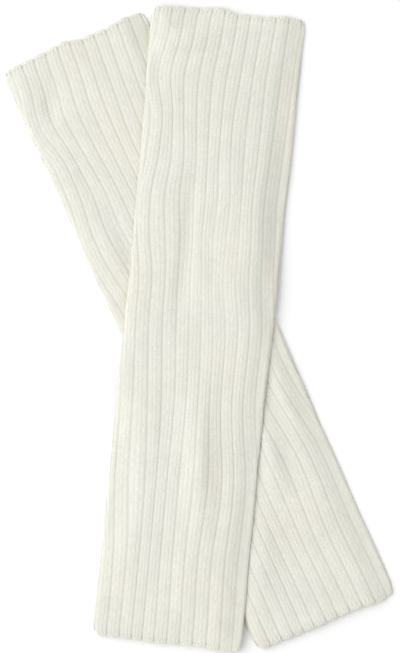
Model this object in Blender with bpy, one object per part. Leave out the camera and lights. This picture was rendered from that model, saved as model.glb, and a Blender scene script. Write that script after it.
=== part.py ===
"""A pair of long rib-knit leg warmers, laid crossed on a flat surface.

Each leg warmer is one knitted tube without a seam, open at both hems and pressed flat, so that its two
walls lie on each other. One lies on the surface. The other lies across it: it rests on the surface at
both ends and bridges the first one in the middle.

Metres, +Z up, +Y towards the top hems. The origin is on the surface, under the middle of the pair.
A leg warmer's own frame has its origin in its middle, +X across it and +Y towards its top hem.
"""

import math
from collections import namedtuple

import bpy
import numpy as np
from mathutils import Matrix

MM = 0.001

# Driving dimensions, in millimetres
LENGTH = 600.0  # from hem to hem
RIB_PITCH = 11.7  # 24 ribs go round the tube
FLOOR_WALL = 2.4  # the wall that lies below
HOLLOW = 1.4  # between the two walls
TOP_WALL = 2.2  # the upper wall, in the grooves between ribs
RIB_RISE = 1.6
SCALLOP = 1.2  # how far a rib's end stands out of the hem
HEM_REACH = 40.0  # how far in from a hem its waviness fades
PIECE_GAP = 0.4  # between the two leg warmers
DRAPE_RUN = 32.0  # how far the upper one takes to come down to the surface
DRAPE_CLEAR = 2.5  # where it starts down, outside the edge of the lower one

# The tube's height in the grooves, and the radius of its side folds
TUBE_HEIGHT = FLOOR_WALL + HOLLOW + TOP_WALL
FOLD_RADIUS = TUBE_HEIGHT / 2

# A cross-section: how far it lies from the top hem, its left and right edges, and how many ribs have
# been passed, counted from the left, at each of the places across that COUNT_AT names.
Section = namedtuple("Section", "along left right ribs")
COUNT_AT = (-54, -36, -18, 0, 18, 36, 54)
SECTIONS = (
    Section(0, -69.0, 69.5, (1.0, 2.4, 3.8, 5.3, 6.8, 8.3, 9.7)),
    Section(8, -72.3, 71.2, (1.0, 2.5, 3.9, 5.3, 6.8, 8.3, 9.7)),
    Section(26, -71.9, 70.9, (1.1, 2.6, 4.0, 5.4, 6.9, 8.4, 9.8)),
    Section(64, -71.7, 70.7, (1.6, 3.0, 4.3, 5.7, 7.1, 8.6, 9.9)),
    Section(103, -69.7, 71.2, (0.9, 2.7, 4.2, 5.7, 7.3, 8.6, 10.0)),
    Section(141, -69.3, 71.0, (0.9, 2.4, 3.9, 5.6, 7.2, 8.6, 10.1)),
    Section(179, -69.2, 70.5, (1.2, 2.5, 3.8, 5.4, 6.9, 8.6, 10.2)),
    Section(217, -69.0, 70.6, (1.0, 2.2, 3.5, 5.4, 6.9, 8.4, 10.0)),
    Section(255, -68.2, 70.5, (0.5, 1.9, 3.4, 5.0, 6.8, 8.3, 9.8)),
    Section(294, -69.0, 70.5, (0.4, 1.8, 3.2, 4.7, 6.3, 7.8, 9.4)),
    Section(370, -68.0, 69.4, (0.0, 1.3, 2.7, 4.3, 5.9, 7.6, 9.3)),
    Section(446, -68.0, 69.9, (-0.2, 0.9, 2.6, 4.2, 5.5, 6.8, 8.4)),
    Section(523, -68.7, 70.1, (-0.7, 0.7, 2.5, 4.1, 5.6, 7.0, 8.4)),
    Section(592, -69.0, 70.7, (-0.8, 0.7, 2.4, 3.9, 5.4, 6.8, 8.2)),
    Section(600, -66.2, 69.0, (-0.8, 0.7, 2.4, 3.9, 5.4, 6.8, 8.2)),
)

# How far the hems stand out of a straight line, at places across the tube.
Hem = namedtuple("Hem", "across top_out bottom_out")
HEMS = (
    Hem(-71, -1.2, -1.5),
    Hem(-60, -0.8, -0.4),
    Hem(-30, 0.8, 0.2),
    Hem(-9, 3.0, 1.0),
    Hem(5, -1.2, 0.6),
    Hem(34, -1.5, 0.4),
    Hem(54, 1.0, 3.0),
    Hem(64, -0.3, 2.2),
    Hem(71, -0.8, -0.8),
)

# Soft folds of the upper wall: where the middle of each lies, its half length and half width, how it is
# turned from the tube's length, and how far it lifts the wall, or presses it down.
Fold = namedtuple("Fold", "name along across half_length half_width turn lift")
FOLDS = (
    Fold("roll at the top corner", 20, -64, 22, 8, 0, 0.9),
    Fold("crease under that roll", 42, -58, 13, 4, -68, -0.6),
    Fold("roll along the left edge", 112, -62, 36, 8, 0, 0.8),
    Fold("trough beside that roll", 128, -49, 28, 5, -6, -0.5),
    Fold("long trough", 215, -25, 62, 6, 3, -0.7),
    Fold("short trough", 190, -13, 26, 5, 4, -0.5),
    Fold("flat swell", 232, 15, 44, 11, 0, 0.4),
    Fold("left lower trough", 370, -39, 80, 6, 2, -0.5),
    Fold("middle trough", 486, -2, 34, 7, 2, -0.6),
    Fold("right lower swell", 500, 40, 60, 14, -4, 0.5),
)

# Where each leg warmer lies: the middle's place in millimetres, and the lean from +Y, in degrees
Place = namedtuple("Place", "x y lean")
UNDER_PLACE = Place(-0.2, -2.5, 23.5)
OVER_PLACE = Place(-1.7, 1.4, -5.8)

# The mesh: a rib's points as shares of its width and of its rise, and how many rings and points there are
RIB_POINTS = ((0.0, 0.0), (0.2, 0.72), (0.5, 1.0), (0.8, 0.72))
FIRST_RIB, LAST_RIB = -3, 13  # the ribs that reach the upper side anywhere along the tube
RIBBED_POINTS = len(RIB_POINTS) * (LAST_RIB - FIRST_RIB) + 1
UNDER_RINGS, OVER_RINGS = 32, 38
UNDER_FLOOR_POINTS, OVER_FLOOR_POINTS = 4, 13
HOLLOW_POINTS = 19  # along each side of the hollow


def smooth_curve(x, knots, values):
    """A smooth curve through (knots, values), read at x. Beyond the ends it goes on straight."""
    x, knots, values = (np.asarray(a, float) for a in (x, knots, values))
    slopes = np.gradient(values, knots)
    i = np.clip(np.searchsorted(knots, x) - 1, 0, len(knots) - 2)
    span = knots[i + 1] - knots[i]
    t = np.clip((x - knots[i]) / span, 0, 1)
    low, high = values[i], values[i + 1]
    curve = low * (1 + 2 * t) * (1 - t) ** 2 + high * t * t * (3 - 2 * t)
    curve += span * (slopes[i] * t * (1 - t) ** 2 - slopes[i + 1] * t * t * (1 - t))
    before = np.minimum(x - knots[0], 0) * slopes[0]
    after = np.maximum(x - knots[-1], 0) * slopes[-1]
    return curve + before + after


def ease(t):
    """0 to 1 with a soft start and end."""
    t = np.clip(t, 0, 1)
    return t * t * (3 - 2 * t)


def section_at(along):
    """(left edge, right edge, rib counts at COUNT_AT) at a distance from the top hem."""
    knots = [s.along for s in SECTIONS]
    left = np.interp(along, knots, [s.left for s in SECTIONS])
    right = np.interp(along, knots, [s.right for s in SECTIONS])
    counts = [
        float(smooth_curve(along, knots, [s.ribs[i] for s in SECTIONS]))
        for i in range(len(COUNT_AT))
    ]
    return float(left), float(right), counts


def girth_place(ribs, counts):
    """How far round the tube from its middle line a rib count lies, along the upper side."""
    place = smooth_curve(ribs, counts, COUNT_AT)
    place = np.where(ribs < counts[0], COUNT_AT[0] + (ribs - counts[0]) * RIB_PITCH, place)
    return np.where(ribs > counts[-1], COUNT_AT[-1] + (ribs - counts[-1]) * RIB_PITCH, place)


def round_the_tube(girth, left, right):
    """(across, height, outward x, outward z) of points on a flat tube with round side folds.

    girth runs from 0 at the middle of the upper side, to the right, over the fold and back below.
    """
    side = np.where(girth < 0, -1.0, 1.0)
    edge = np.where(girth < 0, -left, right)
    flat_end = edge - FOLD_RADIUS
    past = np.abs(girth) - flat_end
    angle = np.clip(past / FOLD_RADIUS, 0, math.pi)
    below = np.maximum(past - math.pi * FOLD_RADIUS, 0)
    on_top = np.minimum(np.abs(girth), flat_end)
    across = side * (on_top + FOLD_RADIUS * np.sin(angle) - below)
    height = FOLD_RADIUS * (1 + np.cos(angle))
    return across, height, side * np.sin(angle), np.cos(angle)


def fold_lift(across, along):
    """How far the folds lift the upper wall."""
    lift = np.zeros_like(across)
    for fold in FOLDS:
        turn = math.radians(fold.turn)
        run, off = along - fold.along, across - fold.across
        lengthwise = (run * math.cos(turn) + off * math.sin(turn)) / fold.half_length
        sideways = (off * math.cos(turn) - run * math.sin(turn)) / fold.half_width
        lift += fold.lift * np.exp(-(lengthwise**2) - sideways**2)
    return lift


def hem_shift(across, along):
    """How far a point moves towards the top hem, because the hems aren't straight."""
    places = [h.across for h in HEMS]
    top = np.interp(across, places, [h.top_out for h in HEMS])
    bottom = np.interp(across, places, [h.bottom_out for h in HEMS])
    return top * ease(1 - along / HEM_REACH) - bottom * ease(1 - (LENGTH - along) / HEM_REACH)


def outer_ring(along, floor_points):
    """One ring of the outside, as rows of across, own +Y and height, with ribs on all but the underside."""
    left, right, counts = section_at(along)
    ribs = [n + share for n in range(FIRST_RIB, LAST_RIB) for share, _ in RIB_POINTS] + [LAST_RIB]
    rises = [rise for _ in range(FIRST_RIB, LAST_RIB) for _, rise in RIB_POINTS] + [RIB_POINTS[0][1]]
    girth = girth_place(np.array(ribs, float), counts)
    across, height, out_x, out_z = round_the_tube(girth, left, right)
    rise = np.array(rises) * ease((out_z + 0.9) / 0.9)
    upper = ease(out_z / 0.7)
    lift = fold_lift(across, along) * upper
    end = 1.0 if along == 0 else -1.0 if along == LENGTH else 0.0
    ribbed = np.column_stack(
        (
            across + out_x * rise * RIB_RISE,
            LENGTH / 2 - along + hem_shift(across, along) + end * SCALLOP * rise,
            height + out_z * rise * RIB_RISE + lift,
        )
    )
    floor_across = np.linspace(across[-1], across[0], floor_points + 2)[1:-1]
    floor_y = LENGTH / 2 - along + hem_shift(floor_across, along)
    plain = np.column_stack((floor_across, floor_y, np.zeros(floor_points)))
    return np.vstack((ribbed, plain))


def hollow_ring(along):
    """One ring of the plain inside, in the same order as the outside: over the top and back below."""
    left, right, _ = section_at(along)
    radius = HOLLOW / 2
    reach_left, reach_right = left + FLOOR_WALL + radius, right - FLOOR_WALL - radius
    across = np.linspace(reach_left, reach_right, HOLLOW_POINTS)
    y = LENGTH / 2 - along + hem_shift(across, along)
    top = np.column_stack((across, y, FLOOR_WALL + HOLLOW + fold_lift(across, along)))
    low = np.column_stack((across, y, np.full(HOLLOW_POINTS, FLOOR_WALL)))[::-1]
    middle = FLOOR_WALL + radius
    right_tip = [[reach_right + radius, y[-1], middle]]
    left_tip = [[reach_left - radius, y[0], middle]]
    return np.vstack((top, right_tip, low, left_tip))


def ring_places(count):
    """The rings' distances from the top hem, with a closer pair at each hem for its round corners."""
    inner = np.linspace(8, LENGTH - 8, count - 2)
    return [0.0, *(float(a) for a in inner), LENGTH]


def own_matrix(place):
    """From a leg warmer's own frame to the pair's frame, in millimetres."""
    return Matrix.Translation((place.x, place.y, 0)) @ Matrix.Rotation(math.radians(place.lean), 4, "Z")


def moved(points, matrix):
    """The points, taken through the matrix."""
    m = np.array(matrix)
    return points @ m[:3, :3].T + m[:3, 3]


def inside_lower(points):
    """How far points of the pair's frame lie inside the lower leg warmer's outline, seen from above."""
    own = moved(points, own_matrix(UNDER_PLACE).inverted())
    across, along = own[:, 0], LENGTH / 2 - own[:, 1]
    knots = [s.along for s in SECTIONS]
    left = np.interp(along, knots, [s.left for s in SECTIONS])
    right = np.interp(along, knots, [s.right for s in SECTIONS])
    off_side = np.maximum(left - across, across - right)
    off_end = np.maximum(-along, along - LENGTH)
    corner = np.hypot(np.maximum(off_side, 0), np.maximum(off_end, 0))
    return -(corner + np.minimum(np.maximum(off_side, off_end), 0))


def drape(rings, lower_top):
    """The upper leg warmer's rings, lifted over the lower one and down to the surface beyond it."""
    matrix = own_matrix(OVER_PLACE)
    lifted = []
    for ring in rings:
        inside = inside_lower(moved(ring, matrix))
        share = ease((inside + DRAPE_CLEAR + DRAPE_RUN) / DRAPE_RUN)
        raised = ring.copy()
        raised[:, 2] += share * (lower_top + PIECE_GAP)
        lifted.append(raised)
    return lifted


def skin(rounds, count, first, upper_count, outward):
    """Triangles between neighbouring rings, split along one diagonal above and below, as seen from above."""
    faces = []
    for r in range(rounds - 1):
        for i in range(count):
            a = first + r * count + i
            b = first + r * count + (i + 1) % count
            c, d = b + count, a + count
            if i < upper_count:
                pair = ((a, d, c), (a, c, b))
            else:
                pair = ((a, d, b), (b, d, c))
            faces += pair if outward else [tuple(reversed(face)) for face in pair]
    return faces


def side_chain(ring, pick_start, pick_end):
    """(indices, shares) of a ring's points from one side to the other, by how far they go across."""
    start, end = int(pick_start(ring[:, 0])), int(pick_end(ring[:, 0]))
    indices = [(start + i) % len(ring) for i in range((end - start) % len(ring) + 1)]
    walked = np.concatenate(([0.0], np.cumsum(np.abs(np.diff(ring[indices, 0])))))
    return indices, walked / walked[-1]


def hem_rim(outer, inner, first_outer, first_inner):
    """Triangles across the wall's thickness at the top hem, first along the upper wall and then below."""
    faces = []
    for ends in ((np.argmin, np.argmax), (np.argmax, np.argmin)):
        outs, out_share = side_chain(outer, *ends)
        ins, in_share = side_chain(inner, *ends)
        i = j = 0
        while i < len(outs) - 1 or j < len(ins) - 1:
            here, there = first_outer + outs[i], first_inner + ins[j]
            if j == len(ins) - 1 or (i < len(outs) - 1 and out_share[i + 1] <= in_share[j + 1]):
                i += 1
                faces.append((here, first_outer + outs[i], there))
            else:
                j += 1
                faces.append((here, first_inner + ins[j], there))
    return faces


def loft(outer, inner, upper_count):
    """(points, faces) of the closed wall between two lofted tubes, which meet at both hems."""
    rounds, outs, ins = len(outer), len(outer[0]), len(inner[0])
    base = rounds * outs
    faces = skin(rounds, outs, 0, upper_count, True)
    faces += skin(rounds, ins, base, ins // 2, False)
    faces += hem_rim(outer[0], inner[0], 0, base)
    bottom = hem_rim(outer[-1], inner[-1], base - outs, base + (rounds - 1) * ins)
    faces += [tuple(reversed(face)) for face in bottom]
    return np.vstack([*outer, *inner]), faces


def make_material(name, colour, roughness):
    """Soft matt wool."""
    material = bpy.data.materials.new(name)
    material.use_nodes = True
    shader = material.node_tree.nodes["Principled BSDF"]
    shader.inputs["Base Color"].default_value = (*colour, 1.0)
    shader.inputs["Roughness"].default_value = roughness
    shader.inputs["Metallic"].default_value = 0.0
    shader.inputs["Sheen Weight"].default_value = 0.3
    material.diffuse_color = (*colour, 1.0)
    return material


def make_leg_warmer(name, outer, inner, place, material, collection):
    """One leg warmer as an object with its origin in its middle, turned to its lean."""
    points, faces = loft(outer, inner, RIBBED_POINTS)
    mesh = bpy.data.meshes.new(name)
    mesh.from_pydata((points * MM).tolist(), [], faces)
    mesh.validate()
    mesh.materials.append(material)
    mesh.shade_smooth()
    mesh.set_sharp_from_angle(angle=math.radians(50))
    obj = bpy.data.objects.new(name, mesh)
    obj.location = (place.x * MM, place.y * MM, 0)
    obj.rotation_euler = (0, 0, math.radians(place.lean))
    collection.objects.link(obj)
    return obj


def main():
    """Clears the scene and builds the pair."""
    for obj in list(bpy.data.objects):
        bpy.data.objects.remove(obj, do_unlink=True)
    pair = bpy.data.collections.new("leg_warmers")
    bpy.context.scene.collection.children.link(pair)

    under_outer = [outer_ring(a, UNDER_FLOOR_POINTS) for a in ring_places(UNDER_RINGS)]
    under_inner = [hollow_ring(a) for a in ring_places(UNDER_RINGS)]
    lower_top = max(float(ring[:, 2].max()) for ring in under_outer)
    over_outer = drape([outer_ring(a, OVER_FLOOR_POINTS) for a in ring_places(OVER_RINGS)], lower_top)
    over_inner = drape([hollow_ring(a) for a in ring_places(OVER_RINGS)], lower_top)

    wool_under = make_material("ivory_wool_under", (0.78, 0.76, 0.66), 0.9)
    wool_over = make_material("ivory_wool_over", (0.80, 0.78, 0.68), 0.9)
    make_leg_warmer("leg_warmer_under", under_outer, under_inner, UNDER_PLACE, wool_under, pair)
    make_leg_warmer("leg_warmer_over", over_outer, over_inner, OVER_PLACE, wool_over, pair)


main()
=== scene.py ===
"""A pair of long rib-knit leg warmers in ivory wool, laid crossed on a pale floor and seen from above.

Each leg warmer is one knitted tube: a thin closed wall of cloth with a rib for every three knit
stitches and one purl, and on it the stitches themselves, each leg of yarn with its own shape.
Sizes are in millimetres until a mesh is made. A leg warmer's own frame has its origin in its middle,
+X across it and +Y towards its top hem.
"""

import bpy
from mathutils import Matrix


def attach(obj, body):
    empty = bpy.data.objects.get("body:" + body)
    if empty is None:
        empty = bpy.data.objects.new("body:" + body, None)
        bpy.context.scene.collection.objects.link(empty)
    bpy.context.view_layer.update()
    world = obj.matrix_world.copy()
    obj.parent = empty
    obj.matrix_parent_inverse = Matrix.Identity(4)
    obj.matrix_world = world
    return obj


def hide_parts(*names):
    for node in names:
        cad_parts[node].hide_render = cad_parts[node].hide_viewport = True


bl_info = {
    "name": "Pair of leg warmers",
    "version": (1, 0, 0),
    "blender": (4, 5, 0),
    "location": "3D View > Sidebar > Leg warmers",
    "description": "Builds a pair of rib-knit leg warmers, stitch by stitch, and the stage they lie on",
    "category": "Add Mesh",
}

import math
from collections import namedtuple

import bpy
import numpy as np
from mathutils import Matrix, Vector

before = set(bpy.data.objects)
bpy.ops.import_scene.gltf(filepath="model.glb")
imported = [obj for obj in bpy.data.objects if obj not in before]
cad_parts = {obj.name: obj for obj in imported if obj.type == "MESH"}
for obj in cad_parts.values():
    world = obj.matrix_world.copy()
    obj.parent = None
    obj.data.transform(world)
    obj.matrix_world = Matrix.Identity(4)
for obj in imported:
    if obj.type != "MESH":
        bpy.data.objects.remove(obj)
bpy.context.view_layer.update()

MM = 0.001
BODY = "root"

# The knitted tube
LENGTH = 600.0  # from hem to hem
RIBS = 24  # round the tube
RIB_PITCH = 11.7
FLOOR_WALL = 2.4  # the wall that lies below
HOLLOW = 1.4  # between the two walls
TOP_WALL = 2.2  # the upper wall, in the grooves between ribs
FOLD_RADIUS = (FLOOR_WALL + HOLLOW + TOP_WALL) / 2
SEAM_COUNT = -7  # the rib count where the rows of the mesh begin, under the middle of the tube
PRESSED = 0.6  # how much of the relief is left on the underside
PRESSED_FROM = 0.9  # how far the outside turns down, of 1, where its relief is all pressed
SINK = 0.5  # how far the cloth lies below the yarn that stands on it

# A cross-section: how far it lies from the top hem, its left and right edges, and how many ribs have
# been passed, counted from the left, at each of the places across that COUNT_AT names
Section = namedtuple("Section", "along left right ribs")
COUNT_AT = (-54, -36, -18, 0, 18, 36, 54)
SECTIONS = (
    Section(0, -69.0, 69.5, (1.0, 2.4, 3.8, 5.3, 6.8, 8.3, 9.7)),
    Section(8, -72.3, 71.2, (1.0, 2.5, 3.9, 5.3, 6.8, 8.3, 9.7)),
    Section(26, -71.9, 70.9, (1.1, 2.6, 4.0, 5.4, 6.9, 8.4, 9.8)),
    Section(64, -71.7, 70.7, (1.6, 3.0, 4.3, 5.7, 7.1, 8.6, 9.9)),
    Section(103, -69.7, 71.2, (0.9, 2.7, 4.2, 5.7, 7.3, 8.6, 10.0)),
    Section(141, -69.3, 71.0, (0.9, 2.4, 3.9, 5.6, 7.2, 8.6, 10.1)),
    Section(179, -69.2, 70.5, (1.2, 2.5, 3.8, 5.4, 6.9, 8.6, 10.2)),
    Section(217, -69.0, 70.6, (1.0, 2.2, 3.5, 5.4, 6.9, 8.4, 10.0)),
    Section(255, -68.2, 70.5, (0.5, 1.9, 3.4, 5.0, 6.8, 8.3, 9.8)),
    Section(294, -69.0, 70.5, (0.4, 1.8, 3.2, 4.7, 6.3, 7.8, 9.4)),
    Section(370, -68.0, 69.4, (0.0, 1.3, 2.7, 4.3, 5.9, 7.6, 9.3)),
    Section(446, -68.0, 69.9, (-0.2, 0.9, 2.6, 4.2, 5.5, 6.8, 8.4)),
    Section(523, -68.7, 70.1, (-0.7, 0.7, 2.5, 4.1, 5.6, 7.0, 8.4)),
    Section(592, -69.0, 70.7, (-0.8, 0.7, 2.4, 3.9, 5.4, 6.8, 8.2)),
    Section(600, -66.2, 69.0, (-0.8, 0.7, 2.4, 3.9, 5.4, 6.8, 8.2)),
)

# How far the hems stand out of a straight line, at places across the tube
Hem = namedtuple("Hem", "across top_out bottom_out")
HEMS = (
    Hem(-71, -1.2, -1.5),
    Hem(-60, -0.8, -0.4),
    Hem(-30, 0.8, 0.2),
    Hem(-9, 3.0, 1.0),
    Hem(5, -1.2, 0.6),
    Hem(34, -1.5, 0.4),
    Hem(54, 1.0, 3.0),
    Hem(64, -0.3, 2.2),
    Hem(71, -0.8, -0.8),
)
HEM_REACH = 40.0  # how far in from a hem its waviness fades
SCALLOP = 1.2  # how far a rib's end stands out of the hem
SCALLOP_REACH = 7.0
LIP_REACH = 2.2  # the round lip of the hem
LIP_DROP = 1.0
LIP_DROP_BELOW = 0.3  # the share of that drop on the underside, which rests on the floor
FACES_DOWN = -0.5  # the outside counts as the underside where it faces down further than this

# Soft folds of the upper wall: whose they are, where the middle of each lies, its half length and half
# width, how it is turned from the tube's length, and how far it lifts the wall, or presses it down
Fold = namedtuple("Fold", "tube name along across half_length half_width turn lift")
FOLDS = (
    Fold("both", "roll at the top corner", 20, -60, 22, 10, 0, 1.2),
    Fold("both", "roll along the left edge", 112, -57, 36, 8, 0, 0.3),
    Fold("both", "trough beside that roll", 128, -44, 28, 6, -6, -0.5),
    Fold("under", "dent by the top left roll", 44, -40, 20, 9, -30, -1.9),
    Fold("over", "lip under the top hem", 36, -44, 32, 9, -78, 3.6),
    Fold("over", "dip of the top right corner", 12, 80, 36, 15, 0, -3.4),
    Fold("over", "swell beside that corner", 22, 56, 36, 10, 0, 0.8),
    Fold("over", "swell left of the long trough", 215, -36, 70, 12, 2, 0.4),
    Fold("over", "long trough", 222, -18, 58, 7, 2, -2.5),
    Fold("over", "swell right of the long trough", 235, 27, 95, 22, 0, 1.3),
    Fold("over", "left lower hollow", 385, -46, 80, 14, 1, -0.3),
    Fold("over", "left lower trough", 390, -21, 60, 8, 2, -0.9),
    Fold("over", "right lower swell", 420, 14, 56, 13, 7, 5.6),
    Fold("over", "right lower trough", 436, 37, 44, 9, 4, -0.9),
    Fold("over", "swell above the lower hem", 545, 14, 70, 15, -3, 0.9),
    Fold("under", "dip of the top right corner", 10, 80, 34, 16, 0, -4.4),
    Fold("under", "swell beside that corner", 18, 48, 28, 10, 0, 1.0),
    Fold("under", "trough beside the crossing", 204, -31, 44, 7, 2, -2.2),
    Fold("under", "swell left of that trough", 190, -48, 60, 9, 0, 0.5),
    Fold("under", "swell by the right edge", 382, 53, 46, 9, -2, 2.6),
    Fold("under", "swell below the crossing", 430, 17, 36, 9, -8, 2.9),
    Fold("under", "trough below the crossing", 438, 33, 40, 8, -6, -0.8),
    Fold("under", "swell beside the upper one", 535, -38, 62, 12, -28, 1.8),
)
FOLDS_FULL = 0.7  # how far up the outside faces, of 1, where a fold has its whole lift
DEEPEST_INSIDE = -1.1  # how far a fold may press the upper wall's inside down

# Grooves wander up and down along the tube, and the ribs beside them roll with them
GROOVE_WANDER = 0.45
WANDER_RUNS = (17.0, 43.0)  # its two swings each turn by a radian over these lengths
RUN_CHANGE = 0.25  # how much these lengths change from groove to groove

# The rise of a rib, in shares of its width: part of it is a steep side, and part a round crown
GROOVE_FLOOR, GROOVE_SIDE = 0.005, 0.075
CROWN = 0.48
STEEP_SHARE = 0.5  # of the rise

# The side edges of a tube lie thinner than its middle, so its upper side rounds away
LEFT_THIN = 0.10  # how much of the thickness is gone at the left edge
RIGHT_THIN_TOP, RIGHT_THIN_LOW = 0.42, 0.64  # the same at the right edge, in its upper and lower part
RIGHT_THINS_FROM, RIGHT_THINS_TO = 330.0, 480.0  # where along the tube that changes
LEFT_REACH, RIGHT_REACH = 12.0, 25.0  # how far in from each edge the tube thickens

# Where the ribs lie calmer, with shallower grooves that also take less painted shade: share is how much of
# the depth is gone
Calm = namedtuple("Calm", "name along across half_length half_width share")
CALM_PLACES = (
    Calm("smooth middle", 250, 17, 80, 27, 0.9),
    Calm("top left roll", 60, -66, 110, 9, 0.6),
)

FLAT_NEAR = 3.0  # over how much on each side of the upper one's outline the lower one's folds fade

# Where each leg warmer lies: the middle's place, and the lean from +Y, in degrees
Place = namedtuple("Place", "x y lean")
UNDER_PLACE = Place(-0.2, -2.5, 23.5)
OVER_PLACE = Place(-1.7, 1.4, -5.8)
BRIDGE_RISE = 7.9  # how high the upper one lies where it crosses the lower one
DRAPE_RUN = 160.0  # how far the middle of the upper one takes to come down to the floor
DRAPE_START = -10.0  # where it starts down, counted outwards from the edge of the lower one
EDGE_DRAPE_RUN, EDGE_DRAPE_START = 54.0, 2.5  # the same near its side edges, which lie close
CLOSE_REACH = 30.0  # how far in from its side edges the upper one lies close
PRESSED_IN = 0.07  # how much of the lower one's height the side edges of the upper one press in
PRESS_REACH = 18.0  # how far from such an edge, either way, the press is felt

# What rests on what, and the number that starts its random draws
Laid = namedtuple("Laid", "name tube place bridges rests_on seed")
PAIR = (
    Laid("leg_warmer_under", "under", UNDER_PLACE, False, "floor", 11),
    Laid("leg_warmer_over", "over", OVER_PLACE, True, "leg_warmer_under_cloth", 23),
)

# The stitches of a rib: three columns of knit, then one of purl in the groove
COURSES = 162
COURSE = LENGTH / COURSES
STITCHES = 4  # in a course of one rib
Wale = namedtuple("Wale", "name share")
WALES = (Wale("left", 0.205), Wale("middle", 0.5), Wale("right", 0.795))
WALE_STEP = 0.295  # from one column to the next, in ribs
WALE_RISE = 0.04  # how far a column of stitches rounds up between its two neighbours
WALE_MARGIN = 0.05  # of a rib's width, on each side of it, that the columns leave to the groove

# One leg of a knit stitch: its rings from the upper end, where it spreads, to the lower, where the two
# legs meet. step is in leg lengths, radius in yarn radii, and lift in millimetres.
Ring = namedtuple("Ring", "step radius lift")
FULL_LEG = (
    Ring(-0.5, 0.0, -0.18),
    Ring(-0.27, 0.9, 0.00),
    Ring(0.03, 1.0, 0.03),
    Ring(0.30, 0.9, 0.02),
    Ring(0.5, 0.0, -0.18),
)
PRESSED_LEG = (
    Ring(-0.5, 0.0, -0.30),
    Ring(-0.18, 0.95, 0.05),
    Ring(0.2, 0.95, 0.10),
    Ring(0.5, 0.0, -0.22),
)
PRESSED_BELOW = -0.4  # legs are pressed where the outside faces down further than this
LEG_OFF, LEG_LEAN = 0.22, 0.27  # how far a leg lies off its column's middle, and leans, in column widths
LEG_RUN = 1.55  # in courses
LEG_RAISE = 0.15  # how far above the cloth the legs lie
LEG_CLEAR = 0.55  # how far the first and last legs stay from the hems, in courses
# How unevenly legs are drawn: their place across, in ribs, their place along, and their length
UNEVEN_ACROSS, UNEVEN_ALONG, UNEVEN_LENGTH = 0.006, 0.18, 0.05
LEG_TONE, PURL_TONE, LINK_TONE = (0.5, 0.2), (0.4, 0.2), (0.55, 0.15)  # the middle tone, and its spread

PURL_BAR = (Ring(-0.5, 0.0, 0.05), Ring(0.0, 1.0, 0.0), Ring(0.5, 0.0, 0.05))
PURL_WIDTH = 1.3  # from end to end of a bar, across the groove
PURL_REACH = 0.46  # how far a bar reaches either way along the tube, in courses
PURL_HEIGHT = 0.1
PURL_CLEAR = 0.5  # how far the first and last bars stay from the hems, in courses
UNEVEN_PURL = 0.2
SEAM_CLEAR = 0.02  # how far the bars in the first groove stay from where the mesh begins, in ribs
STRAIGHT = 0.01  # the run along the tube of a bit of yarn that lies across it

CHAIN_LINK = (
    Ring(-0.5, 0.0, -0.15),
    Ring(-0.2, 0.95, 0.10),
    Ring(0.2, 0.95, 0.10),
    Ring(0.5, 0.0, -0.15),
)
CHAIN_ROWS = (0.55, 2.0)  # how far from the hem the two rows of links lie
LINK_WIDTH, LINK_REACH, LINK_HEIGHT = 3.6, 0.75, 0.4
LINK_SLANT = 0.5
LINK_RAISE = 0.25
UNEVEN_LINK = 0.01

# A bit of yarn across its run, in yarn radii and heights: a ridge between two low rims
YARN_SIDES = ((-1.0, -0.12), (0.0, 1.0), (1.0, -0.12))
RIM_ANGLE = 70.0  # degrees: a bit of yarn is smooth but for its rims, which are folded sharper than this

# The mesh of the cloth
COLUMN_SHARES = (0.0, 0.035, 0.075, 0.19, 0.35, 0.5, 0.65, 0.81, 0.925, 0.965)  # of a rib's width
CLOTH_ROWS = 163
LINING_ROWS = 44
LIP_ROWS = (0.0, 0.5, 1.3)  # how far from a hem the rows of its lip lie
LINING_FROM = 0.6  # how far from a hem the lining starts
OUTSIDE_MAP, LINING_MAP = 0.80, 0.82  # on the map, where the outside ends and the lining starts
# Where the places round the tube are reckoned: along it, and by rib count
ALONG_STEPS = np.linspace(0, LENGTH, 301)
COUNT_STEPS = np.linspace(SEAM_COUNT, SEAM_COUNT + RIBS, RIBS * 20 + 1)

# The wool. Scales are for metres.
EFFECT_INPUTS = ("Colour", "Hollow Colour", "Unevenness", "Fibre Size", "Twist")
FIBRE_DETAIL, DRIFT_DETAIL = 3.0, 1.0
PATCH_SCALE, DRIFT_SCALE = 38.0, 14.0
MIDDLE_OF_THREE = 1.5  # the middle of a stitch's tone, a patch and a fibre, added up
DRIFT_ENDS = {"From Min": 0.35, "From Max": 0.65}  # the noise that is all cool, and all warm
COOL_TINT, WARM_TINT = (0.996, 1.0, 1.011, 1), (1.004, 1.0, 0.985, 1)
RAISED_FULL = 0.7  # how far up a rib the painted groove shade ends
LEAST_ROUGH = 0.82
PLY_TURNS = 3.0  # how often the plies wind round a leg of yarn
FUZZ_HEIGHT = 0.0002
FINISH = {"Sheen Roughness": 0.45, "Sheen Tint": (1.0, 0.99, 0.95, 1.0), "Specular IOR Level": 0.25}
# How fine the fibres are, and how much of the twist and of the fuzz there is
Wool = namedtuple("Wool", "fibre_size twist bump")
WOOLS = {"cloth": Wool(900.0, 0.0, 0.3), "yarn": Wool(1700.0, 0.35, 0.2)}

# The stage, in metres
FLOOR_HALF = 4.0
FLOOR_DROP = 0.0002  # how far the floor lies below the pair
LAMP_PLACE, LAMP_SIZE = (-3.05, 0.55, 3.2), 4.0
FLOOR_FINISH = {"Roughness": 0.9, "Specular IOR Level": 0.1}
CAMERA_PLACE = (0.0007, 0.0020)  # the middle of the picture on the floor
SIZED_AT = 0.006  # the height at which the picture takes in the view height


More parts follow.
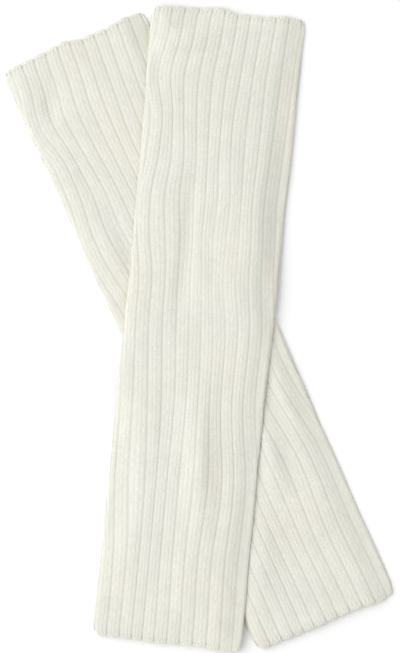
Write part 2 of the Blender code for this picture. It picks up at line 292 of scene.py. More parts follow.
def smooth_curve(x, knots, values):
    """A smooth curve through (knots, values), read at x. Beyond the ends it goes on straight."""
    x, knots, values = (np.asarray(a, float) for a in (x, knots, values))
    slopes = np.gradient(values, knots)
    i = np.clip(np.searchsorted(knots, x) - 1, 0, len(knots) - 2)
    span = knots[i + 1] - knots[i]
    t = np.clip((x - knots[i]) / span, 0, 1)
    low, high = values[i], values[i + 1]
    curve = low * (1 + 2 * t) * (1 - t) ** 2 + high * t * t * (3 - 2 * t)
    curve += span * (slopes[i] * t * (1 - t) ** 2 - slopes[i + 1] * t * t * (1 - t))
    before = np.minimum(x - knots[0], 0) * slopes[0]
    after = np.maximum(x - knots[-1], 0) * slopes[-1]
    return curve + before + after


def ease(t):
    """0 to 1 with a soft start and end."""
    t = np.clip(t, 0, 1)
    return t * t * (3 - 2 * t)


def edges_at(along):
    """The left and right edges of the flat tube at distances from the top hem."""
    knots = [s.along for s in SECTIONS]
    left = np.interp(along, knots, [s.left for s in SECTIONS])
    return left, np.interp(along, knots, [s.right for s in SECTIONS])


def girth_row(along):
    """How far round the tube from its upper middle line each of COUNT_STEPS lies, at one section."""
    left, right = edges_at(along)
    knots = [s.along for s in SECTIONS]
    counts = [float(smooth_curve(along, knots, ribs)) for ribs in zip(*(s.ribs for s in SECTIONS))]
    first, last = counts[0], counts[-1]
    row = smooth_curve(COUNT_STEPS, counts, COUNT_AT)
    row = np.where(COUNT_STEPS < first, COUNT_AT[0] + (COUNT_STEPS - first) * RIB_PITCH, row)
    row = np.where(COUNT_STEPS > last, COUNT_AT[-1] + (COUNT_STEPS - last) * RIB_PITCH, row)
    flat_left, flat_right = -left - FOLD_RADIUS, right - FOLD_RADIUS
    turn = math.pi * FOLD_RADIUS
    count_left = first - (flat_left + turn + COUNT_AT[0]) / RIB_PITCH
    count_right = last + (flat_right + turn - COUNT_AT[-1]) / RIB_PITCH
    below = (flat_left + flat_right) / (RIBS + count_left - count_right)
    row = np.where(COUNT_STEPS > count_right, flat_right + turn + (COUNT_STEPS - count_right) * below, row)
    return np.where(COUNT_STEPS < count_left, -flat_left - turn - (count_left - COUNT_STEPS) * below, row)


GIRTH = np.array([girth_row(along) for along in ALONG_STEPS])


def girth_at(count, along):
    """How far round the tube a rib count lies, at any distance from the top hem."""
    count_step, along_step = COUNT_STEPS[1] - COUNT_STEPS[0], ALONG_STEPS[1] - ALONG_STEPS[0]
    across = np.clip((count - COUNT_STEPS[0]) / count_step, 0, len(COUNT_STEPS) - 1.001)
    down = np.clip(along / along_step, 0, len(ALONG_STEPS) - 1.001)
    i, j = down.astype(int), across.astype(int)
    s, t = down - i, across - j
    upper = GIRTH[i, j] * (1 - t) + GIRTH[i, j + 1] * t
    lower = GIRTH[i + 1, j] * (1 - t) + GIRTH[i + 1, j + 1] * t
    return upper * (1 - s) + lower * s


def round_the_tube(girth, flat_left, flat_right, radius):
    """(across, height, outward x, outward z) of points on a flat tube with round side folds.

    girth runs from 0 at the middle of the upper side, to the right, over the fold and back below.
    """
    side = np.where(girth < 0, -1.0, 1.0)
    flat_end = np.where(girth < 0, flat_left, flat_right)
    past = np.abs(girth) - flat_end
    angle = np.clip(past / radius, 0, math.pi)
    below = np.maximum(past - math.pi * radius, 0)
    across = side * (np.minimum(np.abs(girth), flat_end) + radius * np.sin(angle) - below)
    return across, radius * (1 + np.cos(angle)), side * np.sin(angle), np.cos(angle)


def thinning(across, along):
    """What share of its height a point of the tube keeps, less near the side edges."""
    left, right = edges_at(along)
    low = ease((along - RIGHT_THINS_FROM) / (RIGHT_THINS_TO - RIGHT_THINS_FROM))
    right_thin = RIGHT_THIN_TOP + (RIGHT_THIN_LOW - RIGHT_THIN_TOP) * low
    gone_left = LEFT_THIN * (1 - ease((across - left) / LEFT_REACH))
    gone_right = right_thin * (1 - ease((right - across) / RIGHT_REACH))
    return 1 - np.where(across < 0, gone_left, gone_right)


def fold_lift(across, along, laid):
    """How far the folds lift the upper wall."""
    lift = np.zeros(np.broadcast(across, along).shape)
    for fold in (f for f in FOLDS if f.tube in ("both", laid.tube)):
        turn = math.radians(fold.turn)
        run, off = along - fold.along, across - fold.across
        lengthwise = (run * math.cos(turn) + off * math.sin(turn)) / fold.half_length
        sideways = (off * math.cos(turn) - run * math.sin(turn)) / fold.half_width
        lift += fold.lift * np.exp(-(lengthwise**2) - sideways**2)
    return lift


def hem_shift(across, along):
    """How far a point moves towards the top hem, because the hems aren't straight."""
    places = [h.across for h in HEMS]
    top = np.interp(across, places, [h.top_out for h in HEMS])
    bottom = np.interp(across, places, [h.bottom_out for h in HEMS])
    return top * ease(1 - along / HEM_REACH) - bottom * ease(1 - (LENGTH - along) / HEM_REACH)


def rib_profile(count):
    """From 0 in the groove to 1 on the middle of a rib."""
    share = count - np.floor(count)
    inward = np.minimum(share, 1 - share)
    steep = ease((inward - GROOVE_FLOOR) / GROOVE_SIDE)
    return STEEP_SHARE * steep + (1 - STEEP_SHARE) * ease(inward / CROWN)


def groove_depth(count, along):
    """From 0 on the middle of a rib to 1 in the groove, and less where the ribs lie calm."""
    girth = girth_at(np.clip(count, COUNT_STEPS[0], COUNT_STEPS[-1]), np.clip(along, 0, LENGTH))
    depth = 1 - rib_profile(count)
    for calm in CALM_PLACES:
        off_along = (along - calm.along) / calm.half_length
        off_across = (girth - calm.across) / calm.half_width
        depth = depth * (1 - calm.share * np.exp(-(off_along**2 + off_across**2)))
    return depth


def cloth_rise(count, along, knit):
    """How far the cloth rises on the ribs, in millimetres. Purl yarn fills the grooves in part."""
    depth = (1 - knit.groove_fill) * groove_depth(count, along)
    return knit.rib_rise / MM * (1 - depth) + rib_roll(count, along, knit)


def groove_wander(groove, along):
    """How high a groove lies along its way. The odd factors keep neighbours out of step."""
    turn = (groove - SEAM_COUNT) % RIBS
    swings = []
    for k, run in enumerate(WANDER_RUNS):
        quicker = 1 + RUN_CHANGE * np.sin(2.3 * turn + 4 * k)
        start = (2.4 + k) * turn + 2.0 * np.sin(1.9 * turn)
        swings.append(np.sin(along / run * quicker + start))
    return GROOVE_WANDER * sum(swings) / len(swings)


def rib_roll(count, along, knit):
    """How far a rib is lifted, or rolls to one side, between its two grooves."""
    rib = np.floor(count)
    share = ease(count - rib)
    left, right = groove_wander(rib, along), groove_wander(rib + 1, along)
    return knit.unevenness * (left * (1 - share) + right * share)


def wale_profile(count):
    """From -1 between two columns of stitches to 1 on the middle of a column."""
    share = count - np.floor(count)
    in_groove = np.minimum(share, 1 - share) < WALE_MARGIN
    return np.where(in_groove, -1.0, np.cos(2 * math.pi * (share - 0.5) / WALE_STEP))


def own_matrix(place):
    """From a leg warmer's own frame to the pair's frame, in millimetres."""
    return Matrix.Translation((place.x, place.y, 0)) @ Matrix.Rotation(math.radians(place.lean), 4, "Z")


def moved(points, matrix):
    """The points, taken through the matrix."""
    m = np.array(matrix)
    return points @ m[:3, :3].T + m[:3, 3]


def inside_upper(points):
    """How far inside the outline of the upper leg warmer points of the pair's frame are."""
    own = moved(points, own_matrix(OVER_PLACE).inverted())
    across, along = own[:, 0], LENGTH / 2 - own[:, 1]
    left, right = edges_at(along)
    return np.minimum(np.minimum(across - left, right - across), np.minimum(along, LENGTH - along))


def pressed_height(points):
    """What share of its height the lower leg warmer keeps near the side edges of the upper one."""
    return 1 - PRESSED_IN * ease(1 - np.abs(inside_upper(points)) / PRESS_REACH)


def lower_rise(points):
    """How high the lower leg warmer holds the upper one at points of the pair's frame.

    The upper one follows the lower one closely at its side edges, and bridges it gently in its middle.
    """
    own = moved(points, own_matrix(UNDER_PLACE).inverted())
    across, along = own[:, 0], LENGTH / 2 - own[:, 1]
    left, right = edges_at(along)
    off_side, off_end = np.maximum(left - across, across - right), np.maximum(-along, along - LENGTH)
    past_corner = np.minimum(off_side, off_end) > 0
    off = np.where(past_corner, np.hypot(off_side, off_end), np.maximum(off_side, off_end))
    gentle = ease(1 - (off - DRAPE_START) / DRAPE_RUN)
    close = ease(1 - (off - EDGE_DRAPE_START) / EDGE_DRAPE_RUN) * thinning(across, along)
    at_edge = ease(1 - inside_upper(points) / CLOSE_REACH)
    return BRIDGE_RISE * (gentle * (1 - at_edge) + close * at_edge)


def laid_down(own, lift, laid):
    """Points of a leg warmer's own frame, lifted by its folds, in the pair's frame.

    The upper one is lifted where it crosses the lower one, whose folds it presses flat.
    """
    points = moved(own, own_matrix(laid.place))
    if laid.bridges:
        points[:, 2] += lift + lower_rise(points) * pressed_height(points)
    else:
        free = 1 - ease(0.5 + inside_upper(points) / FLAT_NEAR / 2)
        points[:, 2] = (points[:, 2] + lift * free) * pressed_height(points)
    return points


def on_the_outside(count, along, out, laid):
    """Points that stand off the outside by out, given by their rib count and distance from the top hem."""
    count, along, out = (np.asarray(a, float).ravel() for a in np.broadcast_arrays(count, along, out))
    left, right = edges_at(along)
    kept_along = np.clip(along, 0, LENGTH)
    across, height, out_x, out_z = round_the_tube(
        girth_at(count, kept_along), -left - FOLD_RADIUS, right - FOLD_RADIUS, FOLD_RADIUS
    )
    full = ease((out_z + PRESSED_FROM) / PRESSED_FROM)
    rise = bpy.context.scene.leg_warmer_knit.rib_rise / MM
    out = full * out + (1 - full) * PRESSED * (out - rise)
    to_hem = np.minimum(along, LENGTH - along)
    drop = LIP_DROP * (1 - ease(to_hem / LIP_REACH))
    out -= drop * np.where(out_z < FACES_DOWN, LIP_DROP_BELOW, 1.0)
    end = np.where(along < LENGTH / 2, 1.0, -1.0)
    scallop = SCALLOP * rib_profile(count) * full * (1 - ease(to_hem / SCALLOP_REACH))
    kept = thinning(across, along)
    own = np.column_stack(
        (
            across + out_x * out,
            LENGTH / 2 - along + hem_shift(across, kept_along) + end * scallop,
            np.maximum(height + out_z * out, 0.0) * kept,
        )
    )
    lift = fold_lift(across, along, laid) * ease(out_z / FOLDS_FULL) * kept
    return laid_down(own, lift, laid)


def on_the_inside(count, along, laid):
    """Points of the plain inside of the tube, in the same order as the outside."""
    count, along = (np.asarray(a, float).ravel() for a in np.broadcast_arrays(count, along))
    left, right = edges_at(along)
    radius = HOLLOW / 2
    girth = girth_at(count, along)
    edge = np.where(girth < 0, -left, right)
    outer_half = 2 * (edge - FOLD_RADIUS) + math.pi * FOLD_RADIUS
    inner_half = 2 * (edge - FLOOR_WALL - radius) + math.pi * radius
    across, height, _, out_z = round_the_tube(
        girth * inner_half / outer_half, -left - FLOOR_WALL - radius, right - FLOOR_WALL - radius, radius
    )
    kept = thinning(across, along)
    own = np.column_stack(
        (across, LENGTH / 2 - along + hem_shift(across, along), (FLOOR_WALL + height) * kept)
    )
    lift = np.maximum(fold_lift(across, along, laid), DEEPEST_INSIDE)
    return laid_down(own, lift * ease(out_z / FOLDS_FULL) * kept, laid)


def new_piece(name, points, faces, corner_uvs, point_values, material):
    """A mesh object with smooth faces, its UV maps by corner and its values by point."""
    mesh = bpy.data.meshes.new(name)
    mesh.vertices.add(len(points))
    mesh.vertices.foreach_set("co", (points * MM).astype(np.float32).ravel())
    mesh.loops.add(faces.size)
    mesh.loops.foreach_set("vertex_index", faces.astype(np.int32).ravel())
    mesh.polygons.add(len(faces))
    mesh.polygons.foreach_set("loop_start", np.arange(0, faces.size, faces.shape[1], dtype=np.int32))
    mesh.polygons.foreach_set("use_smooth", np.ones(len(faces), bool))
    mesh.update(calc_edges=True)
    for map_name, corners in corner_uvs.items():
        layer = mesh.uv_layers.new(name=map_name)
        layer.uv.foreach_set("vector", corners.astype(np.float32).ravel())
    for value_name, values in point_values.items():
        attribute = mesh.attributes.new(value_name, "FLOAT", "POINT")
        attribute.data.foreach_set("value", values.astype(np.float32).ravel())
    if mesh.validate():
        raise RuntimeError(f"{name} had faulty faces")
    mesh.materials.append(material)
    piece = bpy.data.objects.new(name, mesh)
    bpy.context.scene.collection.objects.link(piece)
    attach(piece, BODY)
    return piece


def ring_of_quads(first, second, columns, inward=False):
    """Quads between two rings of points that start at these numbers."""
    i = np.arange(columns)
    j = (i + 1) % columns
    quads = np.column_stack((first + i, second + i, second + j, first + j))
    return quads[:, ::-1] if inward else quads


def make_cloth(laid, knit, material):
    """The closed wall of one tube: ribs outside, plain inside, joined round both hems."""
    shares = np.array(COLUMN_SHARES)
    counts = (SEAM_COUNT + np.arange(RIBS)[:, None] + shares[None, :]).ravel()
    columns = len(counts)
    lip = np.array(LIP_ROWS)
    middle_rows = np.linspace(COURSE / 2, LENGTH - COURSE / 2, CLOTH_ROWS)[1:-1]
    outer_rows = np.concatenate((lip, middle_rows, LENGTH - lip[::-1]))
    inner_rows = np.linspace(LINING_FROM, LENGTH - LINING_FROM, LINING_ROWS)
    outer_count, outer_along = np.meshgrid(counts, outer_rows)
    out = cloth_rise(outer_count, outer_along, knit) - SINK
    outer = on_the_outside(outer_count, outer_along, out, laid)
    inner_count, inner_along = np.meshgrid(counts, inner_rows)
    inner = on_the_inside(inner_count, inner_along, laid)

    start = len(outer)
    outer_last = (len(outer_rows) - 1) * columns
    inner_last = start + (len(inner_rows) - 1) * columns
    quads = [ring_of_quads(r * columns, (r + 1) * columns, columns) for r in range(len(outer_rows) - 1)]
    quads += [
        ring_of_quads(start + r * columns, start + (r + 1) * columns, columns, True)
        for r in range(len(inner_rows) - 1)
    ]
    quads.append(ring_of_quads(start, 0, columns))
    quads.append(ring_of_quads(outer_last, inner_last, columns))
    faces = np.vstack(quads)

    turn = np.concatenate((outer_count.ravel(), inner_count.ravel())) - SEAM_COUNT
    outer_down = outer_along.ravel() / LENGTH * OUTSIDE_MAP
    inner_down = LINING_MAP + inner_along.ravel() / LENGTH * (1 - LINING_MAP)
    down = np.concatenate((outer_down, inner_down))
    corner_turn = turn[faces]
    wraps = np.ptp(corner_turn, axis=1, keepdims=True) > RIBS / 2
    corner_turn = np.where(wraps & (corner_turn < RIBS / 2), corner_turn + RIBS, corner_turn)
    bake = np.stack((corner_turn / RIBS, 1 - down[faces]), -1)
    rows = np.concatenate((outer_along.ravel(), inner_along.ravel()))[faces] / COURSE
    yarn = np.stack((corner_turn * STITCHES, rows), -1)
    # How raised each point of the outside is; the painted groove shade darkens the low ones
    outer_raised = 1 - groove_depth(outer_count, outer_along).ravel()
    raised = np.concatenate((outer_raised, np.full(len(inner), 0.5)))
    uvs, values = {"OFBake": bake, "Yarn": yarn}, {"raised": raised, "tone": np.full(len(raised), 0.5)}
    return new_piece(f"{laid.name}_cloth", np.vstack((outer, inner)), faces, uvs, values, material)


def yarn_bits(rings, centres, lean, radius, thick, run, lift_by):
    """(count, along, out, share along the bit, faces) of many short bits of yarn, pointed at both ends.

    centres has a row of count, along, side and run scale for each bit. lean is how far to its side a bit
    lies, and how far it goes back across from end to end. radius and thick are its half width and its
    height, run its length along the tube, and lift_by the surface that it lies on.
    """
    count, along, side, scale = centres.T[:, :, None]
    middle = [r for r in rings if r.radius]
    ends = [r for r in rings if not r.radius]
    sideways = np.array([[s[0] * r.radius * radius for s in YARN_SIDES] for r in middle]).ravel()
    above = np.array([[s[1] * r.radius * thick + r.lift for s in YARN_SIDES] for r in middle]).ravel()
    step = np.repeat([r.step for r in middle], len(YARN_SIDES))
    sideways = np.append(sideways, [0.0, 0.0])
    above = np.append(above, [end.lift for end in ends])
    step = np.append(step, [end.step for end in ends])
    step_across, step_along = -side * lean[1], run * scale
    step_length = np.hypot(step_across, step_along)
    across = side * lean[0] + step * step_across + sideways * step_along / step_length
    bit_count = count + across / RIB_PITCH
    bit_along = along + step * step_along - sideways * step_across / step_length
    out = lift_by(bit_count, bit_along) + above * np.ones_like(count)

    ring, n = len(YARN_SIDES), len(middle)
    faces = []
    for r in range(n - 1):
        for i in range(ring):
            a, b = r * ring + i, r * ring + (i + 1) % ring
            faces += [(a, b, b + ring), (a, b + ring, a + ring)]
    upper, lower = n * ring, n * ring + 1
    for i in range(ring):
        a, b = i, (i + 1) % ring
        faces += [(b, a, upper), (a + (n - 1) * ring, b + (n - 1) * ring, lower)]
    faces = np.array(faces)
    per_bit = n * ring + 2
    all_faces = (np.arange(len(centres))[:, None, None] * per_bit + faces[None]).reshape(-1, 3)
    share = np.broadcast_to(step + 0.5, bit_count.shape)
    return bit_count, bit_along, out, share, all_faces


def joined_bits(name, batches, laid, tones, material):
    """One mesh piece of several batches of yarn bits."""
    parts, first = [], 0
    for (count, along, out, share, faces), bit_tone in zip(batches, tones):
        points = on_the_outside(count, along, out, laid)
        flat = np.column_stack(((count.ravel() - SEAM_COUNT) / RIBS, 1 - along.ravel() / LENGTH))
        around = np.tile(np.arange(count.shape[1]) % len(YARN_SIDES) / len(YARN_SIDES), len(count))
        yarn = np.column_stack((share.ravel(), around))
        # How raised each bit of yarn lies; the painted groove shade darkens the low ones
        raised = 1 - groove_depth(count, along).ravel()
        tone = np.repeat(bit_tone, count.shape[1])
        parts.append((points, faces + first, np.clip(flat, 0.0, 1.0)[faces], yarn[faces], raised, tone))
        first += len(points)
    points, faces, bake, yarn, raised, tone = (np.concatenate(part) for part in zip(*parts))
    uvs, values = {"OFBake": bake, "Yarn": yarn}, {"raised": raised, "tone": tone}
    piece = new_piece(name, points, faces, uvs, values, material)
    piece.data.set_sharp_from_angle(angle=math.radians(RIM_ANGLE))
    return piece


def turned_out(count, along):
    """How far the outside faces up at a rib count: 1 on top, 0 on the side folds and -1 below."""
    left, right = edges_at(along)
    girth = girth_at(count, along)
    return round_the_tube(girth, -left - FOLD_RADIUS, right - FOLD_RADIUS, FOLD_RADIUS)[3]


def ground(knit, raised_by, rounded=0.0):
    """The surface that bits of yarn lie on, as a function of rib count and distance from the top hem."""

    def height(count, along):
        return cloth_rise(count, along, knit) + rounded * wale_profile(count) - SINK + raised_by

    return height


def uneven_tones(rng, tone, shape):
    """A tone from 0 to 1 for each bit of yarn."""
    return np.clip(rng.normal(*tone, shape), 0, 1)


def every_stitch():
    """The rib and the course of each place in the knitting, the ribs counted from the seam."""
    return (a.ravel() for a in np.meshgrid(np.arange(RIBS) + SEAM_COUNT, np.arange(COURSES)))


def make_wales(laid, wale, knit, material):
    """Every stitch of one of the three knit columns of each rib, two legs of yarn to a stitch."""
    rng = np.random.default_rng(laid.seed + int(wale.share * 100))
    rib, course = every_stitch()
    uneven = knit.unevenness
    batches, tones = [], []
    width = knit.wale_width / MM
    lean = (width * LEG_OFF, width * LEG_LEAN)
    radius, thick = knit.yarn_width / MM / 2, knit.yarn_height / MM
    surface = ground(knit, LEG_RAISE, WALE_RISE)
    for side in (-1.0, 1.0):
        count = rib + wale.share + rng.normal(0, UNEVEN_ACROSS * uneven, rib.shape)
        along = (course + 0.5) * COURSE + rng.normal(0, UNEVEN_ALONG * uneven, rib.shape)
        along = np.clip(along, COURSE * LEG_CLEAR, LENGTH - COURSE * LEG_CLEAR)
        size = 1 + rng.normal(0, UNEVEN_LENGTH * uneven, rib.shape)
        centres = np.column_stack((count, along, np.full(rib.shape, side), size))
        tone = uneven_tones(rng, LEG_TONE, rib.shape)
        upward = turned_out(count, along) > PRESSED_BELOW
        for rings, chosen in ((FULL_LEG, upward), (PRESSED_LEG, ~upward)):
            drawn = centres[chosen]
            batches.append(yarn_bits(rings, drawn, lean, radius, thick, COURSE * LEG_RUN, surface))
            tones.append(tone[chosen])
    return joined_bits(f"{laid.name}_{wale.name}_wales", batches, laid, tones, material)


def make_purls(laid, knit, material):
    """The bar of each purl stitch, low in the groove between two ribs."""
    rng = np.random.default_rng(laid.seed + 7)
    rib, course = every_stitch()
    rib = np.where(rib == SEAM_COUNT, SEAM_COUNT + SEAM_CLEAR, rib)
    along = (course + 0.5) * COURSE + rng.normal(0, UNEVEN_PURL, rib.shape)
    along = np.clip(along, COURSE * PURL_CLEAR, LENGTH - COURSE * PURL_CLEAR)
    centres = np.column_stack((rib, along, np.ones(rib.shape), np.ones(rib.shape)))
    lean, radius = (0.0, -PURL_WIDTH), COURSE * PURL_REACH
    bits = yarn_bits(PURL_BAR, centres, lean, radius, PURL_HEIGHT, STRAIGHT, ground(knit, 0.0))
    tone = uneven_tones(rng, PURL_TONE, rib.shape)
    return joined_bits(f"{laid.name}_purl_bars", [bits], laid, [tone], material)


def make_hem_chains(laid, knit, material):
    """The chain of cast-on and cast-off loops that closes both hems."""
    rng = np.random.default_rng(laid.seed + 3)
    places = (np.arange(RIBS * STITCHES) + 0.5) / STITCHES + SEAM_COUNT
    ones = np.ones(places.shape)
    batches, tones = [], []
    surface = ground(knit, LINK_RAISE)
    for row in (*CHAIN_ROWS, *(LENGTH - row for row in reversed(CHAIN_ROWS))):
        slant = LINK_SLANT if row < LENGTH / 2 else -LINK_SLANT
        count = places + rng.normal(0, UNEVEN_LINK, places.shape)
        centres = np.column_stack((count, row * ones, ones, ones))
        lean = (0.0, -LINK_WIDTH)
        batches.append(yarn_bits(CHAIN_LINK, centres, lean, LINK_REACH, LINK_HEIGHT, slant, surface))
        tones.append(uneven_tones(rng, LINK_TONE, places.shape))
    return joined_bits(f"{laid.name}_hem_chains", batches, laid, tones, material)


def node(tree, kind, **values):
    """A new node of a tree, with its settings."""
    made = tree.nodes.new(kind)
    for name, value in values.items():
        setattr(made, name, value)
    return made


def set_inputs(made, values):
    """Gives a node's inputs plain values by their names."""
    for name, value in values.items():
        made.inputs[name].default_value = value


def feed(tree, value, place):
    """Gives an input what another node puts out, or a plain value."""
    if isinstance(value, bpy.types.NodeSocket):
        tree.links.new(value, place)
    else:
        place.default_value = value


def reckon(tree, operation, *values, kind="ShaderNodeMath"):
    """What a math node puts out."""
    made = node(tree, kind, operation=operation)
    for value, place in zip(values, made.inputs):
        feed(tree, value, place)
    return made.outputs[0]


def speckle(tree, place, scale, detail=2.0):
    """What a noise texture puts out, around 0.5."""
    made = node(tree, "ShaderNodeTexNoise")
    for name, value in (("Vector", place), ("Scale", scale), ("Detail", detail)):
        feed(tree, value, made.inputs[name])
    return made.outputs["Fac"]


def ranged(tree, value, ends):
    """A value taken from one range to another. Ends that aren't given are 0 and 1."""
    made = node(tree, "ShaderNodeMapRange", clamp=True)
    set_inputs(made, ends)
    feed(tree, value, made.inputs["Value"])
    return made.outputs["Result"]


def blend(tree, share, first, second):
    """A colour between two."""
    made = node(tree, "ShaderNodeMix", data_type="RGBA")
    feed(tree, share, made.inputs["Factor"])
    feed(tree, first, made.inputs[6])
    feed(tree, second, made.inputs[7])
    return made.outputs[2]


def yarn_effect():
    """The look of twisted wool: mottled colour with painted shade in the grooves, dull fibres, and a twist
    and fuzz that stand up.
    """
    name = "twisted wool"
    if name in bpy.data.node_groups:
        return bpy.data.node_groups[name]
    tree = bpy.data.node_groups.new(name, "ShaderNodeTree")
    for way, names in (("INPUT", EFFECT_INPUTS), ("OUTPUT", ("Colour", "Roughness", "Height"))):
        for socket in names:
            kind = "Color" if "Colour" in socket else "Float"
            tree.interface.new_socket(socket, in_out=way, socket_type=f"NodeSocket{kind}")
    given = node(tree, "NodeGroupInput").outputs
    result = node(tree, "NodeGroupOutput").inputs
    place = node(tree, "ShaderNodeTexCoord").outputs["Object"]
    raised = node(tree, "ShaderNodeAttribute", attribute_name="raised").outputs["Fac"]
    tone = node(tree, "ShaderNodeAttribute", attribute_name="tone").outputs["Fac"]
    yarn = node(tree, "ShaderNodeUVMap", uv_map="Yarn").outputs["UV"]
    fibres = speckle(tree, place, given["Fibre Size"], FIBRE_DETAIL)

    # Painted shade in the grooves, mixed in by how raised each point is, then a tone that changes with
    # stitch, patch and fibre
    on_rib = ranged(tree, raised, {"From Max": RAISED_FULL})
    colour = blend(tree, on_rib, given["Hollow Colour"], given["Colour"])
    three = reckon(tree, "ADD", reckon(tree, "ADD", tone, speckle(tree, place, PATCH_SCALE)), fibres)
    swing = reckon(tree, "MULTIPLY", reckon(tree, "SUBTRACT", three, MIDDLE_OF_THREE), given["Unevenness"])
    by_colour = "ShaderNodeVectorMath"
    shaded = reckon(tree, "MULTIPLY", colour, reckon(tree, "ADD", swing, 1.0), kind=by_colour)

    # Wide patches that are a little cooler or warmer
    drift = speckle(tree, place, DRIFT_SCALE, DRIFT_DETAIL)
    warmth = ranged(tree, drift, DRIFT_ENDS)
    tint = blend(tree, warmth, COOL_TINT, WARM_TINT)
    feed(tree, reckon(tree, "MULTIPLY", shaded, tint, kind=by_colour), result["Colour"])
    feed(tree, ranged(tree, fibres, {"To Min": LEAST_ROUGH}), result["Roughness"])

    # The plies wind round the yarn, whose map has its run across and its girth upwards
    parts = node(tree, "ShaderNodeSeparateXYZ")
    feed(tree, yarn, parts.inputs[0])
    wound = reckon(tree, "MULTIPLY_ADD", parts.outputs["X"], PLY_TURNS, parts.outputs["Y"])
    wave = reckon(tree, "SINE", reckon(tree, "MULTIPLY", wound, 2 * math.pi))
    twist = reckon(tree, "MULTIPLY", wave, given["Twist"])
    feed(tree, reckon(tree, "ADD", twist, fibres), result["Height"])
    return tree


def wool_of(kind):
    """The material of the cloth or of the yarn, made the first time that it is asked for."""
    name = f"ivory_wool_{kind}"
    if name in bpy.data.materials:
        return bpy.data.materials[name]
    look, wool = bpy.context.scene.leg_warmer_wool, WOOLS[kind]
    material = bpy.data.materials.new(name)
    material.use_nodes = True
    tree = material.node_tree
    shader = tree.nodes["Principled BSDF"]
    set_inputs(shader, {**FINISH, "Sheen Weight": look.sheen})
    effect = node(tree, "ShaderNodeGroup", node_tree=yarn_effect())
    own = ((*look.colour, 1), (*look.groove_shade_colour, 1), look.unevenness, wool.fibre_size, wool.twist)
    set_inputs(effect, dict(zip(EFFECT_INPUTS, own)))
    fuzz = node(tree, "ShaderNodeBump")
    set_inputs(fuzz, {"Strength": wool.bump, "Distance": FUZZ_HEIGHT})
    link = tree.links.new
    link(effect.outputs["Colour"], shader.inputs["Base Color"])
    link(effect.outputs["Roughness"], shader.inputs["Roughness"])
    link(effect.outputs["Height"], fuzz.inputs["Height"])
    link(fuzz.outputs["Normal"], shader.inputs["Normal"])
    return material


class KnitSizes(bpy.types.PropertyGroup):
    """Sizes of the knitting."""

    rib_rise: bpy.props.FloatProperty(
        name="Rib Rise", description="How far a rib stands above a groove with no yarn in it",
        default=1.6 * MM, min=0.0, max=4 * MM, unit="LENGTH", subtype="DISTANCE",
    )
    groove_fill: bpy.props.FloatProperty(
        name="Groove Fill", description="How much of each groove the purl yarn fills", default=0.64,
        min=0.0, max=1.0, subtype="FACTOR",
    )
    wale_width: bpy.props.FloatProperty(
        name="Stitch Width", description="Width of one knit column", default=3.2 * MM,
        min=1 * MM, max=6 * MM, unit="LENGTH", subtype="DISTANCE",
    )
    yarn_width: bpy.props.FloatProperty(
        name="Yarn Width", description="Width of one leg of a stitch", default=1.6 * MM,
        min=0.3 * MM, max=3 * MM, unit="LENGTH", subtype="DISTANCE",
    )
    yarn_height: bpy.props.FloatProperty(
        name="Yarn Height", description="How far a leg of yarn stands above the cloth", default=0.16 * MM,
        min=0.01 * MM, max=2 * MM, unit="LENGTH", subtype="DISTANCE",
    )
    unevenness: bpy.props.FloatProperty(
        name="Unevenness", description="How unevenly the stitches are drawn", default=1.0,
        min=0.0, max=3.0, subtype="FACTOR",
    )


class WoolLook(bpy.types.PropertyGroup):
    """Colour and finish of the wool."""

    colour: bpy.props.FloatVectorProperty(
        name="Colour", description="Colour of the yarn on the ribs", default=(0.785, 0.777, 0.700),
        min=0.0, max=1.0, subtype="COLOR",
    )
    # Painted shade: a darker, yellower colour mixed into the grooves, on top of the shade that their
    # relief casts
    groove_shade_colour: bpy.props.FloatVectorProperty(
        name="Hollow Colour", description="Colour deep in the grooves", default=(0.725, 0.710, 0.625),
        min=0.0, max=1.0, subtype="COLOR",
    )
    unevenness: bpy.props.FloatProperty(
        name="Mottle", description="How much the tone changes from stitch to stitch", default=0.10,
        min=0.0, max=1.0, subtype="FACTOR",
    )
    sheen: bpy.props.FloatProperty(
        name="Sheen", description="Soft light on the fuzz of the wool", default=0.2,
        min=0.0, max=1.0, subtype="FACTOR",
    )


class StageLook(bpy.types.PropertyGroup):
    """The floor, the light and the camera."""

    floor_colour: bpy.props.FloatVectorProperty(
        name="Floor Colour", description="Colour of the floor", default=(0.97, 0.97, 0.97),
        min=0.0, max=1.0, subtype="COLOR",
    )
    sky: bpy.props.FloatProperty(
        name="Sky", description="Brightness of the light from all round", default=0.69, min=0.0, max=5.0,
    )
    key: bpy.props.FloatProperty(
        name="Key Light", description="Power of the soft light at the upper left", default=132.0,
        min=0.0, max=500.0, unit="POWER",
    )
    camera_height: bpy.props.FloatProperty(
        name="Camera Height", description="How high the camera hangs above the floor", default=3.0,
        min=0.5, max=10.0, unit="LENGTH", subtype="DISTANCE",
    )
    view_height: bpy.props.FloatProperty(
        name="View Height", description="Length of floor that the picture takes in", default=0.62035,
        min=0.1, max=5.0, unit="LENGTH", subtype="DISTANCE",
    )


class LEGWARMERS_OT_stitches(bpy.types.Operator):
    """Knit the stitches of every rib on both leg warmers"""

    bl_idname = "leg_warmers.stitches"
    bl_label = "Knit Stitches"

    def execute(self, context):
        knit = context.scene.leg_warmer_knit
        for laid in PAIR:
            for wale in WALES:
                make_wales(laid, wale, knit, wool_of("yarn"))
        return {"FINISHED"}


class LEGWARMERS_OT_purls(bpy.types.Operator):
    """Lay the purl bars in the grooves between the ribs"""

    bl_idname = "leg_warmers.purls"
    bl_label = "Purl Bars"

    def execute(self, context):
        for laid in PAIR:
            make_purls(laid, context.scene.leg_warmer_knit, wool_of("yarn"))
        return {"FINISHED"}


class LEGWARMERS_OT_hems(bpy.types.Operator):
    """Close the hems with a chain of loops"""

    bl_idname = "leg_warmers.hems"
    bl_label = "Hem Chains"

    def execute(self, context):
        for laid in PAIR:
            make_hem_chains(laid, context.scene.leg_warmer_knit, wool_of("yarn"))
        return {"FINISHED"}


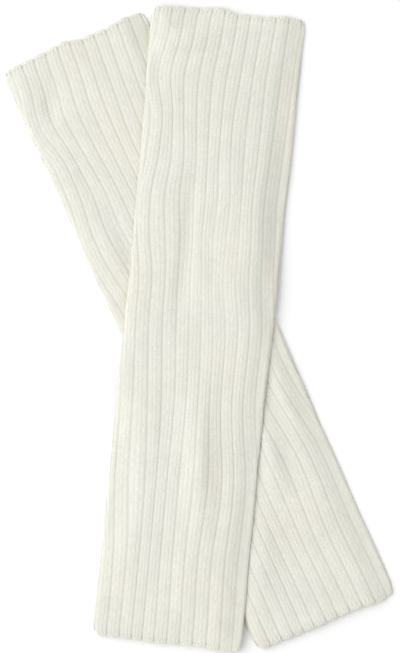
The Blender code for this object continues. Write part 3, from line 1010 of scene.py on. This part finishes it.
class LEGWARMERS_OT_tubes(bpy.types.Operator):
    """Lay the two tubes of cloth that carry the stitches, one on the floor and one across it"""

    bl_idname = "leg_warmers.tubes"
    bl_label = "Knitted Tubes"

    def execute(self, context):
        for laid in PAIR:
            cloth = make_cloth(laid, context.scene.leg_warmer_knit, wool_of("cloth"))
            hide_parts(laid.name)
        return {"FINISHED"}


def soft_lamp(name, place, size, power):
    """A square soft light that faces the middle of the pair."""
    data = bpy.data.lights.new(name, "AREA")
    data.shape = "SQUARE"
    data.size = size
    data.energy = power
    lamp = bpy.data.objects.new(name, data)
    lamp.location = place
    lamp.rotation_euler = (-Vector(place)).to_track_quat("-Z", "Y").to_euler()
    bpy.context.scene.collection.objects.link(lamp)


class LEGWARMERS_OT_stage(bpy.types.Operator):
    """Set the pale floor, the soft light and the camera straight above"""

    bl_idname = "leg_warmers.stage"
    bl_label = "Stage"

    def execute(self, context):
        scene = context.scene
        look = scene.leg_warmer_stage
        scene.view_settings.view_transform = "Standard"

        mesh = bpy.data.meshes.new("floor")
        corners = ((-1, -1), (1, -1), (1, 1), (-1, 1))
        mesh.from_pydata([(x * FLOOR_HALF, y * FLOOR_HALF, 0) for x, y in corners], [], [(0, 1, 2, 3)])
        paint = bpy.data.materials.new("pale_floor")
        paint.use_nodes = True
        shader = paint.node_tree.nodes["Principled BSDF"]
        set_inputs(shader, {**FLOOR_FINISH, "Base Color": (*look.floor_colour, 1)})
        mesh.materials.append(paint)
        floor = bpy.data.objects.new("floor", mesh)
        floor.location.z = -FLOOR_DROP
        scene.collection.objects.link(floor)

        world = bpy.data.worlds.new("studio")
        world.use_nodes = True
        sky = world.node_tree.nodes["Background"]
        set_inputs(sky, {"Color": (1.0, 1.0, 1.0, 1.0), "Strength": look.sky})
        scene.world = world
        soft_lamp("key_light", LAMP_PLACE, LAMP_SIZE, look.key)

        data = bpy.data.cameras.new("camera")
        data.lens = data.sensor_width * (look.camera_height - SIZED_AT) / look.view_height
        data.clip_end = 100.0
        camera = bpy.data.objects.new("camera", data)
        camera.location = (*CAMERA_PLACE, look.camera_height)
        scene.collection.objects.link(camera)
        scene.camera = camera
        return {"FINISHED"}


class LEGWARMERS_PT_panel(bpy.types.Panel):
    """Lists the steps that build the pair, with their sizes"""

    bl_idname = "LEGWARMERS_PT_panel"
    bl_label = "Leg Warmers"
    bl_space_type = "VIEW_3D"
    bl_region_type = "UI"
    bl_category = "Leg warmers"

    def draw(self, context):
        column = self.layout.column()
        for operator in OPERATORS:
            column.operator(operator.bl_idname)
        for group_name, group in GROUPS.items():
            for name in group.__annotations__:
                column.prop(getattr(context.scene, group_name), name)


GROUPS = {"leg_warmer_knit": KnitSizes, "leg_warmer_wool": WoolLook, "leg_warmer_stage": StageLook}
OPERATORS = (
    LEGWARMERS_OT_stage,
    LEGWARMERS_OT_stitches,
    LEGWARMERS_OT_purls,
    LEGWARMERS_OT_hems,
    LEGWARMERS_OT_tubes,
)


def register():
    for cls in (*GROUPS.values(), *OPERATORS, LEGWARMERS_PT_panel):
        bpy.utils.register_class(cls)
    for name, group in GROUPS.items():
        setattr(bpy.types.Scene, name, bpy.props.PointerProperty(type=group))


def unregister():
    for name in GROUPS:
        delattr(bpy.types.Scene, name)
    for cls in reversed((*GROUPS.values(), *OPERATORS, LEGWARMERS_PT_panel)):
        bpy.utils.unregister_class(cls)


def main():
    """Builds the whole pair in order."""
    register()
    bpy.ops.leg_warmers.stage()
    bpy.ops.leg_warmers.stitches()
    bpy.ops.leg_warmers.purls()
    bpy.ops.leg_warmers.hems()
    bpy.ops.leg_warmers.tubes()


if __name__ == "__main__":
    main()
